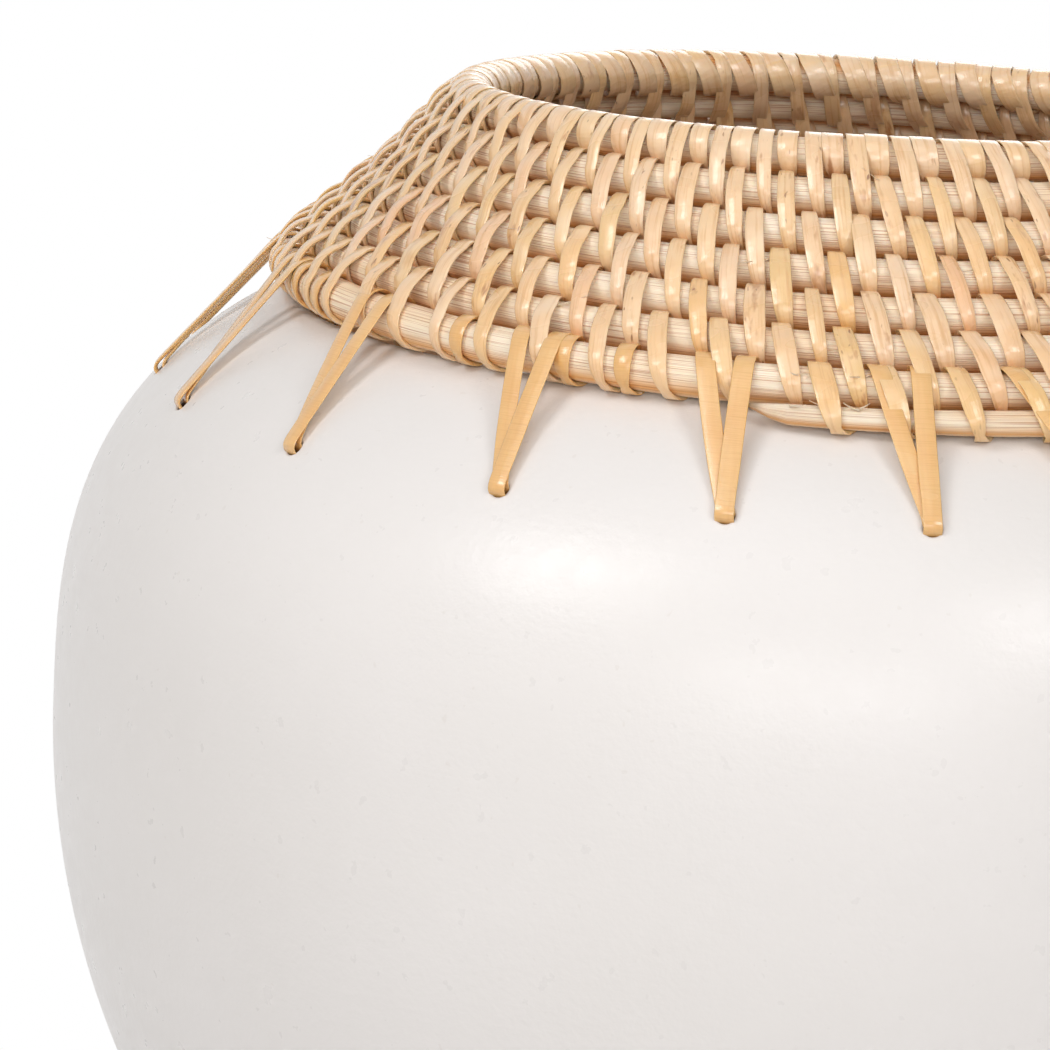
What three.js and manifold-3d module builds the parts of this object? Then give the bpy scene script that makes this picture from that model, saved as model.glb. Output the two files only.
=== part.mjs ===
import * as THREE from 'three';
import { mergeVertices } from 'three/addons/utils/BufferGeometryUtils.js';
import Module from 'manifold-3d';

const wasm = await Module();
wasm.setup();

// Pot, in millimetres: the base lies on z = 0 and the axis is +Z
const BELLY_RADIUS = 150;
const BELLY_HEIGHT = 134;
const BASE_RADIUS = 75;
const SHOULDER_RISE = 93;
const SHOULDER_FULLNESS = 2.9;
const LIP_RADIUS = 110.5;
const POT_WALL = 7;
const POT_FLOOR = 10;
const POT_SEGMENTS = 60;
const POT_STEPS = 8;
const LIP_STEPS = 4;

// Lacing holes, drilled square to the shoulder at a drop below the lip
const LACE_COUNT = 20;
const HOLE_DROP = 15.4;
const HOLE_RADIUS = 2.5;
const HOLE_SIDES = 12;
const FIRST_LACE_ANGLE = 6;

// The laces were set by eye: their spacing widens and narrows in waves round the pot
const LACE_DRIFT = 2.7;
const LACE_DRIFT_WAVES = 4;
const LACE_DRIFT_PHASE = 115;

// Coiled collar: one round rattan core that climbs a flared, slightly hollow cone from just outside the lip
const CORE_RADIUS = 2.95;
const ROW_PITCH = 7.8;
const COIL_TURNS = 7.3;
const COIL_START_ANGLE = -7;
const FOOT_REACH = 5.3;
const COLLAR_TOP_SLOPE = 51;
const COLLAR_FOOT_SLOPE = 36;
const ROW_SWELL = 0.06;
const START_TIP_RADIUS = 1.5;
const START_TAPER = 70;
const END_TIP_RADIUS = 1.2;
const END_TAPER = 100;
const STEPS_PER_TURN = 48;
const CORE_SIDES = 7;

// Flat cane strips: the rim winding and the laces
const CANE_WIDTH = 3.4;
const CANE_THICKNESS = 0.7;
const RIM_WRAPS_PER_TURN = 68;
const RIM_WRAP_SPAN = 330;
const STEPS_PER_WRAP = 8;
const LACE_HALF_SPREAD = 5;
const LACE_LEAN = -3.4;
const ARC_STEPS = 10;

// Clearance kept between neighbouring pieces, and between the crossing legs of a lace
const CLEARANCE = 0.3;
const LEG_CROSSING = CANE_THICKNESS + 3 * CLEARANCE;

const rad = THREE.MathUtils.degToRad;
const TURN = 2 * Math.PI;

const paint = new THREE.MeshStandardMaterial({ color: '#ece7e2', roughness: 0.55, metalness: 0 });
const rattan = new THREE.MeshStandardMaterial({ color: '#dcc096', roughness: 0.6, metalness: 0 });
const rimCane = new THREE.MeshStandardMaterial({ color: '#d9bd98', roughness: 0.45, metalness: 0 });
const laceCane = new THREE.MeshStandardMaterial({ color: '#dca764', roughness: 0.45, metalness: 0 });

// Point of a meridian plane turned about the axis; angle zero is the front, -Y
function around(p, angle) {
  return new THREE.Vector3(p.x * Math.sin(angle), -p.x * Math.cos(angle), p.y);
}

// Outside of the pot: an ellipse below the belly, a fuller curve above it
const lowerSpan = BELLY_HEIGHT / Math.sqrt(1 - (BASE_RADIUS / BELLY_RADIUS) ** 2);
const lowerSweep = Math.asin(BELLY_HEIGHT / lowerSpan);

function lowerPoint(t) {
  const a = lowerSweep * (t - 1);
  return new THREE.Vector2(BELLY_RADIUS * Math.cos(a), BELLY_HEIGHT + lowerSpan * Math.sin(a));
}

function upperPoint(a) {
  const power = 2 / SHOULDER_FULLNESS;
  const x = BELLY_RADIUS * Math.cos(a) ** power;
  return new THREE.Vector2(x, BELLY_HEIGHT + SHOULDER_RISE * Math.sin(a) ** power);
}

function shoulderHeight(radius) {
  const share = 1 - (radius / BELLY_RADIUS) ** SHOULDER_FULLNESS;
  return BELLY_HEIGHT + SHOULDER_RISE * share ** (1 / SHOULDER_FULLNESS);
}

function shoulderRadius(height) {
  const share = 1 - ((height - BELLY_HEIGHT) / SHOULDER_RISE) ** SHOULDER_FULLNESS;
  return BELLY_RADIUS * share ** (1 / SHOULDER_FULLNESS);
}

// Outward normal of the shoulder at a point of it
function shoulderNormal(p) {
  const power = SHOULDER_FULLNESS - 1;
  const x = (p.x / BELLY_RADIUS) ** power / BELLY_RADIUS;
  const y = ((p.y - BELLY_HEIGHT) / SHOULDER_RISE) ** power / SHOULDER_RISE;
  return new THREE.Vector2(x, y).normalize();
}

const lipEdge = new THREE.Vector2(LIP_RADIUS, shoulderHeight(LIP_RADIUS));
const lipNormal = shoulderNormal(lipEdge);
const lipCentre = lipEdge.clone().addScaledVector(lipNormal, -POT_WALL / 2);
const lipSweep = Math.acos((LIP_RADIUS / BELLY_RADIUS) ** (SHOULDER_FULLNESS / 2));

function shoulderStep(i) {
  return lipSweep * (i / POT_STEPS) ** (SHOULDER_FULLNESS / 2);
}

function shoulderInside(i) {
  const outer = upperPoint(shoulderStep(i));
  return outer.addScaledVector(shoulderNormal(outer), -POT_WALL);
}

// Closed half section: base, outside, rounded lip, inside and floor
function potProfile() {
  const profile = [new THREE.Vector2(0, 0)];
  for (let i = 0; i <= POT_STEPS; i += 1) {
    profile.push(lowerPoint(i / POT_STEPS));
  }
  for (let i = 1; i <= POT_STEPS; i += 1) {
    profile.push(upperPoint(shoulderStep(i)));
  }
  const lipStart = Math.atan2(lipNormal.y, lipNormal.x);
  for (let i = 1; i < LIP_STEPS; i += 1) {
    const a = lipStart + (Math.PI * i) / LIP_STEPS;
    const nose = new THREE.Vector2(Math.cos(a), Math.sin(a)).multiplyScalar(POT_WALL / 2);
    profile.push(nose.add(lipCentre));
  }
  for (let i = POT_STEPS; i >= 1; i -= 1) {
    profile.push(shoulderInside(i));
  }
  const insideSpan = lowerSpan - POT_WALL;
  const insideSweep = Math.asin((BELLY_HEIGHT - POT_FLOOR) / insideSpan);
  for (let i = 0; i <= POT_STEPS; i += 1) {
    const a = (-insideSweep * i) / POT_STEPS;
    const x = (BELLY_RADIUS - POT_WALL) * Math.cos(a);
    profile.push(new THREE.Vector2(x, BELLY_HEIGHT + insideSpan * Math.sin(a)));
  }
  profile.push(new THREE.Vector2(0, POT_FLOOR));
  return profile;
}

function toManifold(geometry) {
  const plain = geometry.clone();
  plain.deleteAttribute('normal');
  plain.deleteAttribute('uv');
  const merged = mergeVertices(plain, 1e-4);
  return new wasm.Manifold(new wasm.Mesh({
    numProp: 3,
    vertProperties: new Float32Array(merged.attributes.position.array),
    triVerts: new Uint32Array(merged.index.array),
  }));
}

function fromManifold(solid) {
  const mesh = solid.getMesh();
  const geometry = new THREE.BufferGeometry();
  geometry.setAttribute('position', new THREE.BufferAttribute(new Float32Array(mesh.vertProperties), 3));
  geometry.setIndex(new THREE.BufferAttribute(new Uint32Array(mesh.triVerts), 1));
  return geometry;
}

const laceAngles = [];
for (let i = 0; i < LACE_COUNT; i += 1) {
  const even = (TURN * i) / LACE_COUNT;
  const drift = LACE_DRIFT * Math.cos(LACE_DRIFT_WAVES * even + rad(LACE_DRIFT_PHASE));
  laceAngles.push(even + rad(FIRST_LACE_ANGLE + drift));
}

const holeHeight = lipEdge.y - HOLE_DROP;
const holePoint = new THREE.Vector2(shoulderRadius(holeHeight), holeHeight);
const holeNormal = shoulderNormal(holePoint);
const upShoulder = new THREE.Vector2(-holeNormal.y, holeNormal.x);

function potGeometry() {
  const turnedPot = new THREE.LatheGeometry(potProfile(), POT_SEGMENTS);
  let pot = toManifold(turnedPot.rotateX(Math.PI / 2));
  const drill = new THREE.CylinderGeometry(HOLE_RADIUS, HOLE_RADIUS, 4 * POT_WALL, HOLE_SIDES);
  for (const angle of laceAngles) {
    const axis = around(holeNormal, angle);
    const turned = drill.clone();
    turned.applyQuaternion(new THREE.Quaternion().setFromUnitVectors(new THREE.Vector3(0, 1, 0), axis));
    turned.translate(...around(holePoint, angle));
    pot = pot.subtract(toManifold(turned));
  }
  return fromManifold(pot);
}

// Centre line of the collar in the meridian plane, by slope length down from its top; its foot is at z = 0
const collarLength = ROW_PITCH * COIL_TURNS;
const flareRadius = collarLength / rad(COLLAR_TOP_SLOPE - COLLAR_FOOT_SLOPE);

function collarSlope(length) {
  return rad(COLLAR_TOP_SLOPE) - length / flareRadius;
}

function collarPoint(length) {
  const foot = rad(COLLAR_FOOT_SLOPE);
  const slope = collarSlope(length);
  const x = LIP_RADIUS + FOOT_REACH - flareRadius * (Math.sin(slope) - Math.sin(foot));
  return new THREE.Vector2(x, flareRadius * (Math.cos(foot) - Math.cos(slope)));
}

// One cross-section of the core, by angle wound from its start at the foot
const coilSweep = TURN * COIL_TURNS;

function coreRadius(wound) {
  const start = Math.min(1, wound / rad(START_TAPER));
  const end = Math.min(1, (coilSweep - wound) / rad(END_TAPER));
  const fromStart = START_TIP_RADIUS + (CORE_RADIUS - START_TIP_RADIUS) * start;
  const fromEnd = END_TIP_RADIUS + (CORE_RADIUS - END_TIP_RADIUS) * end;
  return Math.min(fromStart, fromEnd);
}

function coreSection(wound) {
  const angle = rad(COIL_START_ANGLE) + wound;
  const radius = coreRadius(wound);
  const thin = CORE_RADIUS - radius;
  const towardsTop = wound < coilSweep / 2 ? -thin : thin;
  const level = collarLength - (ROW_PITCH * wound) / TURN + towardsTop;
  const length = level * (1 + ROW_SWELL * Math.cos(2 * angle));
  return { angle, radius, centre: collarPoint(length), slope: collarSlope(length) };
}

const coilSections = [];
const coilSteps = Math.round(COIL_TURNS * STEPS_PER_TURN);
for (let i = 0; i <= coilSteps; i += 1) {
  coilSections.push(coreSection((coilSweep * i) / coilSteps));
}

// The collar comes down until its lowest row is one clearance above the shoulder
const collarLift = Math.max(...coilSections.map((section) => {
  if (section.centre.x < LIP_RADIUS) {
    return 0;
  }
  const below = new THREE.Vector2(section.centre.x, shoulderHeight(section.centre.x));
  const rise = (section.radius + CLEARANCE) / shoulderNormal(below).y;
  return below.y + rise - section.centre.y;
}));
coilSections.forEach((section) => {
  section.centre.y += collarLift;
});

// Skin over rings of points that turn clockwise along the path, capped at both ends or joined into a loop
function skin(rings, closed) {
  const sides = rings[0].length;
  const position = rings.flat().flatMap((p) => [p.x, p.y, p.z]);
  const index = [];
  const last = closed ? rings.length : rings.length - 1;
  for (let i = 0; i < last; i += 1) {
    const next = (i + 1) % rings.length;
    for (let j = 0; j < sides; j += 1) {
      const k = (j + 1) % sides;
      index.push(i * sides + j, next * sides + k, i * sides + k);
      index.push(i * sides + j, next * sides + j, next * sides + k);
    }
  }
  if (!closed) {
    const end = (rings.length - 1) * sides;
    for (let j = 1; j < sides - 1; j += 1) {
      index.push(0, j, j + 1);
      index.push(end, end + j + 1, end + j);
    }
  }
  const geometry = new THREE.BufferGeometry();
  geometry.setAttribute('position', new THREE.Float32BufferAttribute(position, 3));
  geometry.setIndex(index);
  return geometry;
}

// Least gap of a winding to itself, between points at least half a turn apart
function leastGap(points, radii, halfTurn) {
  let least = Infinity;
  for (let i = 0; i < points.length; i += 1) {
    for (let j = i + halfTurn; j < points.length; j += 1) {
      least = Math.min(least, points[i].distanceTo(points[j]) - radii[i] - radii[j]);
    }
  }
  return least;
}

// The straight steps of the coil straddle its true circle
const stepReach = 2 / (1 + Math.cos(Math.PI / STEPS_PER_TURN));

function coilGeometry() {
  const rings = coilSections.map((section) => {
    const centre = new THREE.Vector2(section.centre.x * stepReach, section.centre.y);
    const ring = [];
    for (let j = 0; j < CORE_SIDES; j += 1) {
      const a = (TURN * j) / CORE_SIDES;
      const spoke = new THREE.Vector2(Math.cos(a), Math.sin(a)).multiplyScalar(section.radius);
      ring.push(around(spoke.add(centre), section.angle));
    }
    return ring;
  });
  return skin(rings, false);
}

// Cane section on a path, its width level and along the rim: flat strip, or flat inside with a crown
const FLAT = [[-1, -1], [1, -1], [1, 1], [-1, 1]];
const CROWNED = [[-1, -1], [1, -1], [0, 1]];

function caneRing(corners, point, along, across) {
  const out = new THREE.Vector3().crossVectors(across, along).normalize();
  return corners.map(([w, t]) => point.clone()
    .addScaledVector(across, (w * CANE_WIDTH) / 2)
    .addScaledVector(out, (t * CANE_THICKNESS) / 2));
}

// Rim winding: a cane strip that runs round and round the top row
const wrapCount = Math.round((RIM_WRAPS_PER_TURN * RIM_WRAP_SPAN) / 360);

function rimPath() {
  const points = [];
  const first = coilSweep - rad(360 + RIM_WRAP_SPAN) / 2;
  const bend = Math.cos(Math.PI / STEPS_PER_WRAP);
  for (let i = 0; i <= wrapCount * STEPS_PER_WRAP; i += 1) {
    const wound = first + (rad(RIM_WRAP_SPAN) * i) / (wrapCount * STEPS_PER_WRAP);
    const section = coreSection(wound);
    const reach = (section.radius + CLEARANCE + CANE_THICKNESS / 2) / bend;
    const a = (TURN * (i + 0.5)) / STEPS_PER_WRAP - section.slope;
    const spoke = new THREE.Vector2(Math.cos(a), Math.sin(a)).multiplyScalar(reach);
    spoke.add(section.centre);
    spoke.y += collarLift;
    points.push(around(spoke, section.angle));
  }
  return points;
}

function rimGeometry(points) {
  const rings = points.map((point, i) => {
    const before = points[Math.max(0, i - 1)];
    const after = points[Math.min(points.length - 1, i + 1)];
    const along = after.clone().sub(before).normalize();
    const across = new THREE.Vector3(-point.y, point.x, 0).normalize();
    return caneRing(CROWNED, point, along, across);
  });
  return skin(rings, false);
}

// Circle of points that a lace is drawn over
function guide(centre, radius, slope) {
  const reach = (radius + CLEARANCE + CANE_THICKNESS / 2) / Math.cos(Math.PI / ARC_STEPS);
  const points = [];
  for (let i = 0; i < ARC_STEPS; i += 1) {
    const a = (TURN * i) / ARC_STEPS + Math.PI - slope;
    points.push(new THREE.Vector2(centre.x + reach * Math.cos(a), centre.y + reach * Math.sin(a)));
  }
  return points;
}

// Convex outline of points in the meridian plane, anticlockwise
function taut(points) {
  const sorted = [...points].sort((p, q) => p.x - q.x || p.y - q.y);
  const half = (list) => {
    const chain = [];
    for (const p of list) {
      while (chain.length > 1) {
        const a = chain.at(-2);
        const b = chain.at(-1);
        const turn = (b.x - a.x) * (p.y - a.y) - (b.y - a.y) * (p.x - a.x);
        if (turn > 1e-6) {
          break;
        }
        chain.pop();
      }
      chain.push(p);
    }
    chain.pop();
    return chain;
  };
  return [...half(sorted), ...half(sorted.reverse())];
}

// Rows that a lace at this angle binds: the last full row, with the tapered start below it
function boundRows(angle) {
  const wound = (((angle - rad(COIL_START_ANGLE)) % TURN) + TURN) % TURN;
  const rows = [coreSection(wound)];
  if (rows[0].radius < CORE_RADIUS) {
    rows.push(coreSection(wound + TURN));
  }
  rows.forEach((row) => {
    row.centre.y += collarLift;
  });
  return rows;
}

// One pass of a lace in the meridian plane: from the groove, down outside, through the hole and back up inside
function lacePass(angle, over) {
  const along = (over ? -1 : 1) * (CANE_THICKNESS + CLEARANCE) / 2;
  const stand = CLEARANCE + CANE_THICKNESS / 2 + (over ? LEG_CROSSING : 0);
  const outside = holePoint.clone().addScaledVector(holeNormal, stand).addScaledVector(upShoulder, along);
  const inside = holePoint.clone().addScaledVector(holeNormal, -POT_WALL - stand)
    .addScaledVector(upShoulder, along);
  const rows = boundRows(angle);
  const guides = rows.flatMap((row) => guide(row.centre, row.radius, row.slope));
  const lip = guide(lipCentre, POT_WALL / 2, 0);
  const loop = taut([...guides, ...lip, outside, inside]);
  const start = loop.indexOf(outside);
  const upwards = [...loop.slice(start), ...loop.slice(0, start)];
  const top = rows.at(-1);
  const height = (p) => (p.y - top.centre.y) * Math.sin(top.slope) - (p.x - top.centre.x) * Math.cos(top.slope);
  const peak = upwards.reduce((best, p, i) => (height(p) > height(upwards[best]) ? i : best), 0);
  return { outer: upwards.slice(0, peak + 1).reverse(), inner: upwards.slice(peak + 1).reverse() };
}

// Both passes joined into one closed strip: each leg turns aside over this reach, from the shared hole to its groove
const legReach = lipCentre.clone().sub(holePoint).dot(upShoulder) - POT_WALL;

function laceGeometry(angle) {
  const path = [];
  const spread = LACE_HALF_SPREAD / LIP_RADIUS;
  const lean = LACE_LEAN / LIP_RADIUS;
  const follow = (p, aside) => {
    const share = p.clone().sub(holePoint).dot(upShoulder) / legReach;
    const here = angle + aside * THREE.MathUtils.clamp(share, 0, 1);
    path.push({ point: around(p, here), across: new THREE.Vector3(Math.cos(here), Math.sin(here), 0) });
  };
  for (const side of [-1, 1]) {
    const over = side > 0;
    const outAside = lean + side * spread;
    const inAside = lean - side * spread;
    lacePass(angle + outAside, over).outer.forEach((p) => follow(p, outAside));
    lacePass(angle + inAside, over).inner.forEach((p) => follow(p, inAside));
  }
  const rings = path.map(({ point, across }, i) => {
    const before = path.at(i - 1).point;
    const after = path[(i + 1) % path.length].point;
    return caneRing(FLAT, point, after.clone().sub(before).normalize(), across);
  });
  return skin(rings, true);
}

const vase = new THREE.Group();
vase.name = 'rattan_wrapped_vase';

function addPiece(name, geometry, material) {
  const mesh = new THREE.Mesh(geometry, material);
  mesh.name = name;
  vase.add(mesh);
}

addPiece('pot', potGeometry(), paint);
addPiece('collar_core', coilGeometry(), rattan);
const rimPoints = rimPath();
addPiece('rim_winding', rimGeometry(rimPoints), rimCane);
laceAngles.forEach((angle, i) => {
  addPiece(`lace_${String(i + 1).padStart(2, '0')}`, laceGeometry(angle), laceCane);
});

const corePoints = coilSections.map((section) => around(section.centre, section.angle));
const coreRadii = coilSections.map((section) => section.radius);
console.log('collar core, least gap to itself (mm):', leastGap(corePoints, coreRadii, STEPS_PER_TURN / 2).toFixed(2));
const caneRadii = rimPoints.map(() => CANE_WIDTH / 2);
console.log('rim winding, least gap to itself (mm):', leastGap(rimPoints, caneRadii, STEPS_PER_WRAP).toFixed(2));

export default vase;
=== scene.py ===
"""Looks of a white pot with a coiled rattan collar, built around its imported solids."""
import math

import bmesh
import bpy
import numpy as np
from mathutils import Matrix, Vector


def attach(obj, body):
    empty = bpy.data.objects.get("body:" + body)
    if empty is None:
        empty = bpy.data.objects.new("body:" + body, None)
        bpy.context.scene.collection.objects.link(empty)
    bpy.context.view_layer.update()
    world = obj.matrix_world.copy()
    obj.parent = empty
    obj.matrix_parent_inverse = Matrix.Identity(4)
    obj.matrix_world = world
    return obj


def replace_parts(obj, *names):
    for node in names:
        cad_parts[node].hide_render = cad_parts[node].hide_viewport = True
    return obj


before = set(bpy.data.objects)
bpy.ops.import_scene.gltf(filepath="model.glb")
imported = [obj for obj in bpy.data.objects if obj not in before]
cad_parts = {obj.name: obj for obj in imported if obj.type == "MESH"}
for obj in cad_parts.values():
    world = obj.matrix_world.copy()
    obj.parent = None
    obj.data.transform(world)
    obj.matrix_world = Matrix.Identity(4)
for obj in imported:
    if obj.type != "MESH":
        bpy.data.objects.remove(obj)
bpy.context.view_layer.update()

# Lengths of the object and the camera are in millimetres here; add_mesh() and build_camera() make them metres
MM = 0.001
TURN = 2 * math.pi
rng = np.random.default_rng(11)

# Pot, as its solid has it; only the lacing holes are narrower, as the photograph shows them
BELLY_RADIUS = 150.0
BELLY_HEIGHT = 134.0
BASE_RADIUS = 75.0
SHOULDER_RISE = 93.0
SHOULDER_FULLNESS = 2.9
LIP_RADIUS = 110.5
POT_WALL = 7.0
POT_FLOOR = 10.0
LACE_COUNT = 20
HOLE_DROP = 15.4
HOLE_RADIUS = 1.5
HOLE_ROUNDING = 0.5
FIRST_LACE_ANGLE = math.radians(6)
LACE_DRIFT = math.radians(2.7)
LACE_DRIFT_WAVES = 4
LACE_DRIFT_PHASE = math.radians(115)

# Mesh of the pot: its rows, its columns, and the square window of cells round each hole.
# Its rows start at a length up the outside, and inside at a height above the floor
ROWS_BELOW_HOLES = 84
ROWS_ABOVE_HOLES = 10
LIP_ROWS = 12
COLUMNS = 20 * LACE_COUNT
WINDOW_CELL = 2.07
WINDOW_REACH = 3
OUTSIDE_START = 2.0
INSIDE_START = 5.0
WINDOW_RINGS = (0.4, 0.7, 0.88)
ROUNDING_RINGS = 5
BORE_RING_DEPTH = 1.6
HOLE_EDGE_MARK = 0.35

# Edges of base and floor: steps in radius and height from the base's edge and from the floor's
FOOT_EDGE = ((-3.0, 0.0), (-1.2, 0.05), (0.1, 0.7))
FLOOR_EDGE = ((-2.5, 1.6), (-6.0, 0.2), (-9.0, 0.0))

# Unevenness of the thrown pot: depth, waves in a turn and phase; it fades towards the shoulder and the base
SAGS = ((0.3, 2, 0.7), (0.22, 5, 2.1))
SAG_TOP = 185.0
SAG_TOP_FADE = 40.0
SAG_BASE_FADE = 20.0

# Collar, as its solid has it; the core is fuller, so that its rows all but touch, and its tips are drawn out
CORE_RADIUS = 2.95
CORE_FULLNESS = 1.17
CORE_TIP_LENGTH = 7.0
CORE_TIP_AHEAD = math.radians(3)
ROW_PITCH = 7.8
COIL_TURNS = 7.3
COIL_START = math.radians(-7)
FOOT_REACH = 5.3
TOP_SLOPE = math.radians(51)
FOOT_SLOPE = math.radians(36)
ROW_SWELL = 0.06
START_TIP_RADIUS = 1.5
START_TAPER = math.radians(70)
END_TIP_RADIUS = 1.2
END_TAPER = math.radians(100)
CLEARANCE = 0.3
LIFT_STEPS = 361

# Unevenness of the peeled core: depth, waves in a radian and phase; then the lobes of its section
CORE_WAVERS = ((0.05, 9.3, 0), (0.04, 23.7, 1))
CORE_LOBE = 0.012
CORE_LOBES = 3
CORE_LOBE_TWIST = 5
CORE_TIP_SHARE = 0.25
CORE_STEPS_PER_TURN = 220
CORE_SIDES = 20

# Cane strips: places are in radians wound, scatters are shares, and the rim's place is a share of the spacing
STITCHES_PER_TURN = 62.63
STITCH_SPACING = TURN / STITCHES_PER_TURN
FIRST_STITCH = 0.05
STITCH_SCATTER = 0.035
STITCH_BOW = (0.5, 1.0)
STITCH_WIDTH = 3.35
STITCH_THICKNESS = 0.85
STITCH_GAP = 0.03
STITCH_LEAN = 4.7
STITCH_LEAN_SCATTER = 0.13
STITCH_WIDTH_SCATTER = 0.07
STITCH_PINCH = 0.5
EVEN_STITCH_RADIUS = 95.0
STITCH_LEAN_RANGE = (0.8, 1.1)
STITCH_WIDTH_RANGE = (0.92, 1.06)
CLOSING_STITCHES = (0.075, 0.03)
RIM_WRAP_SPAN = math.radians(330)
RIM_WRAP_WIDTH = 4.0
RIM_WRAP_PLACE = 0.37
RIM_WRAP_LEAN = 0.4 * STITCH_LEAN
RIM_PLACE_SCATTER = 0.03
RIM_WIDTH_SCATTER = 0.05
WRAP_LEAN_SCATTER = 0.2
RIM_SLACK = 0.2
OUTSIDE_ARC_STEPS = 7
INSIDE_ARC_STEPS = 6
BRIDGE_STEPS = 7

# Laces: spread and lean are measured at the groove that they come out of
LACE_WIDTH = 3.4
LACE_WIDTH_SCATTER = 0.03
LACE_HOLE_SHARE = 0.93
LACE_NARROWING = 9.0
LACE_THICKNESS = 0.7
LACE_HALF_SPREAD = 4.0
LACE_LEAN = -6.0
LACE_DIP = 0.6
LACE_LIFT = 0.75
LACE_REST = 0.08
GUIDE_STEPS = 48
LACE_STEP = 0.5
LACE_EASING = 10
LACE_UV_SHIFT = 137.0
TAIL_LACE = 1
TAIL_ASIDE = 21.0
TAIL_STEPS = 60
TAIL_WIDTH = 0.9 * LACE_WIDTH

# Foot wraps: places between a lace and the next, for even and odd laces
FOOT_WRAPS = ((0.1, 0.4), (0.38,))
FOOT_WRAP_WIDTH = 0.95 * LACE_WIDTH
FOOT_WRAP_LEAN = 1

# Frayed fibres: how many, and ranges of length, thickness and lift at the coil's start and elsewhere
FIBRE_COUNT = 36
START_FIBRES = 7
START_FIBRE_PLACE = (-0.03, 0.12)
START_FIBRE_LENGTH = (2, 4)
START_FIBRE_THICKNESS = (0.4, 0.6)
FIBRE_LENGTH = (3, 8)
FIBRE_THICKNESS = (0.22, 0.42)
FIBRE_SLANT = (-0.6, 0.6)
FIBRE_LIFT = (0.6, 1.6)
FIBRE_TAPER = 0.75
FIBRE_STAND = 0.4 * STITCH_THICKNESS
FIBRE_STEPS = 9

# Cross-section of a strip: flat inside, crowned outside; in shares of its width and thickness
CROWNED = np.array([
    (-0.46, -0.5), (0.46, -0.5), (0.5, -0.4), (0.46, -0.14), (0.36, 0.14), (0.2, 0.4),
    (0.0, 0.5), (-0.2, 0.4), (-0.36, 0.14), (-0.46, -0.14), (-0.5, -0.4),
])


def around(radius, height, angle):
    """Points of the meridian plane turned about the axis; angle zero is the front, -Y."""
    return np.stack((radius * np.sin(angle), -radius * np.cos(angle), height + 0 * angle), -1)


def sideways(angle):
    """Directions round the axis at each angle."""
    return np.stack((np.cos(angle), np.sin(angle), 0 * angle), 1)


def run_along(points):
    """Length along a path up to each of its points."""
    return np.concatenate(((0.0,), np.cumsum(np.linalg.norm(np.diff(points, axis=0), axis=1))))


def shares(points):
    """Share of a path's length at each of its points."""
    run = run_along(points)
    return run / run[-1]


def add_mesh(name, points, faces, material, uv=None, attributes=None):
    """A smooth mesh piece, from points in millimetres, that rides on the one body."""
    mesh = bpy.data.meshes.new(name)
    mesh.from_pydata((np.asarray(points) * MM).tolist(), [], faces)
    mesh.polygons.foreach_set("use_smooth", [True] * len(mesh.polygons))
    if uv is not None:
        layer = mesh.uv_layers.new(name="UVMap")
        layer.data.foreach_set("uv", np.asarray(uv, np.float32).ravel())
    for key, values in (attributes or {}).items():
        kind = "FLOAT_VECTOR" if np.ndim(values) == 2 else "FLOAT"
        field = "vector" if np.ndim(values) == 2 else "value"
        layer = mesh.attributes.new(key, kind, "POINT")
        layer.data.foreach_set(field, np.asarray(values, np.float32).ravel())
    mesh.materials.append(material)
    mesh.update()
    piece = bpy.data.objects.new(name, mesh)
    bpy.context.scene.collection.objects.link(piece)
    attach(piece, "root")
    return piece


def skin(rings, closed):
    """Faces and uv of the skin over rings of points: u in millimetres along, v from 0 to 1 around."""
    count, sides = rings.shape[:2]
    run = run_along(rings.mean(1))
    closing = np.linalg.norm(np.diff(rings.mean(1), axis=0), axis=1).mean()
    faces, uv = [], []
    last = count if closed else count - 1
    for i in range(last):
        after = (i + 1) % count
        start = run[i]
        end = run[i + 1] if i + 1 < count else run[i] + closing
        for j in range(sides):
            k = (j + 1) % sides
            faces.append((i * sides + j, i * sides + k, after * sides + k, after * sides + j))
            low, high = j / sides, (j + 1) / sides
            uv += [(start, low), (start, high), (end, high), (end, low)]
    if not closed:
        first = list(range(sides))[::-1]
        final = [(count - 1) * sides + j for j in range(sides)]
        faces += [first, final]
        uv += [(run[0], j / sides) for j in first] + [(run[-1], j / sides) for j in range(sides)]
    return faces, uv


# Outside of the pot, and the holes in it
lower_span = BELLY_HEIGHT / math.sqrt(1 - (BASE_RADIUS / BELLY_RADIUS) ** 2)


def shoulder_height(radius):
    share = 1 - (radius / BELLY_RADIUS) ** SHOULDER_FULLNESS
    return BELLY_HEIGHT + SHOULDER_RISE * share ** (1 / SHOULDER_FULLNESS)


def shoulder_radius(height):
    share = 1 - ((height - BELLY_HEIGHT) / SHOULDER_RISE) ** SHOULDER_FULLNESS
    return BELLY_RADIUS * share ** (1 / SHOULDER_FULLNESS)


def shoulder_normal(radius, height):
    power = SHOULDER_FULLNESS - 1
    x = (radius / BELLY_RADIUS) ** power / BELLY_RADIUS
    y = ((height - BELLY_HEIGHT) / SHOULDER_RISE) ** power / SHOULDER_RISE
    return np.array((x, y)) / math.hypot(x, y)


lip_edge = np.array((LIP_RADIUS, shoulder_height(LIP_RADIUS)))
lip_normal = shoulder_normal(*lip_edge)
lip_centre = lip_edge - lip_normal * POT_WALL / 2
hole_height = lip_edge[1] - HOLE_DROP
hole_point = np.array((shoulder_radius(hole_height), hole_height))
hole_normal = shoulder_normal(*hole_point)
up_shoulder = np.array((-hole_normal[1], hole_normal[0]))


def lace_turn(place):
    """Angle at a place counted in laces from the first; their spacing widens and narrows in waves."""
    even = TURN * place / LACE_COUNT
    return FIRST_LACE_ANGLE + even + LACE_DRIFT * np.cos(LACE_DRIFT_WAVES * even + LACE_DRIFT_PHASE)


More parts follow.
